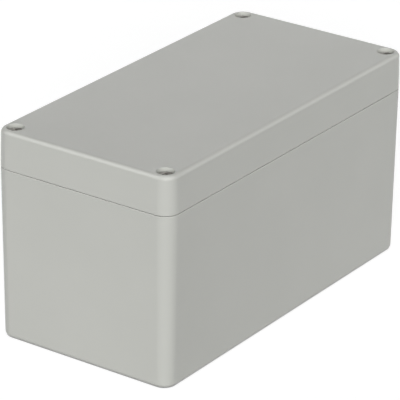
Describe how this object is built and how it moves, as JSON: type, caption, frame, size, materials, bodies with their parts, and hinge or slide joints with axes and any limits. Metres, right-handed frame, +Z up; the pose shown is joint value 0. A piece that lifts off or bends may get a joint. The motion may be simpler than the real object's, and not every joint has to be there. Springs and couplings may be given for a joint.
{
  "type": "polycarbonate enclosure",
  "caption": "Rectangular polycarbonate enclosure: a deep drafted base and a gasketed lid held by captive corner screws in threaded inserts, with wall fixing holes outside the seal.",
  "frame": {"origin": "centre of the underside of the base", "axes": "+X along the length, +Y across the width, +Z up from the base through the lid"},
  "size_m": [0.16, 0.08, 0.085],
  "materials": {
    "housing": "fine even mould texture, light grey",
    "gasket": "matt foam skin",
    "screw": "dull stainless",
    "washer": "natural nylon",
    "insert": "turned and knurled"
  },
  "bodies": {
    "base": {"base": "housing", "threaded_insert_front_left": "insert", "threaded_insert_front_right": "insert", "threaded_insert_rear_right": "insert", "threaded_insert_rear_left": "insert"},
    "lid": {"lid": "housing", "lid_gasket": "gasket"},
    "washer_front_left": {"retaining_washer_front_left": "washer"},
    "screw_front_left": {"lid_screw_front_left": "screw"},
    "washer_front_right": {"retaining_washer_front_right": "washer"},
    "screw_front_right": {"lid_screw_front_right": "screw"},
    "washer_rear_right": {"retaining_washer_rear_right": "washer"},
    "screw_rear_right": {"lid_screw_rear_right": "screw"},
    "washer_rear_left": {"retaining_washer_rear_left": "washer"},
    "screw_rear_left": {"lid_screw_rear_left": "screw"}
  },
  "joints": [
    {"name": "lid_lift", "type": "slide", "parent": "base", "child": "lid", "axis": [0, 0, 1], "range_m": [0, 0.12]},
    {"name": "screw_rise_front_left", "type": "slide", "parent": "lid", "child": "washer_front_left", "axis": [0, 0, 1], "range_m": [0, 0.008]},
    {"name": "screw_turn_front_left", "type": "hinge", "parent": "washer_front_left", "child": "screw_front_left", "pos_m": [-0.0742, -0.0342, 0.0821], "axis": [0, 0, 1], "range_deg": [0, 5761]},
    {"name": "screw_rise_front_right", "type": "slide", "parent": "lid", "child": "washer_front_right", "axis": [0, 0, 1], "range_m": [0, 0.008]},
    {"name": "screw_turn_front_right", "type": "hinge", "parent": "washer_front_right", "child": "screw_front_right", "pos_m": [0.0742, -0.0342, 0.0821], "axis": [0, 0, 1], "range_deg": [0, 5761]},
    {"name": "screw_rise_rear_right", "type": "slide", "parent": "lid", "child": "washer_rear_right", "axis": [0, 0, 1], "range_m": [0, 0.008]},
    {"name": "screw_turn_rear_right", "type": "hinge", "parent": "washer_rear_right", "child": "screw_rear_right", "pos_m": [0.0742, 0.0342, 0.0821], "axis": [0, 0, 1], "range_deg": [0, 5761]},
    {"name": "screw_rise_rear_left", "type": "slide", "parent": "lid", "child": "washer_rear_left", "axis": [0, 0, 1], "range_m": [0, 0.008]},
    {"name": "screw_turn_rear_left", "type": "hinge", "parent": "washer_rear_left", "child": "screw_rear_left", "pos_m": [-0.0742, 0.0342, 0.0821], "axis": [0, 0, 1], "range_deg": [0, 5761]}
  ],
  "couplings": [
    {"joint": "screw_turn_front_left", "follows": "screw_rise_front_left", "rad_per_m": 12566},
    {"joint": "screw_turn_front_right", "follows": "screw_rise_front_right", "rad_per_m": 12566},
    {"joint": "screw_turn_rear_right", "follows": "screw_rise_rear_right", "rad_per_m": 12566},
    {"joint": "screw_turn_rear_left", "follows": "screw_rise_rear_left", "rad_per_m": 12566}
  ]
}
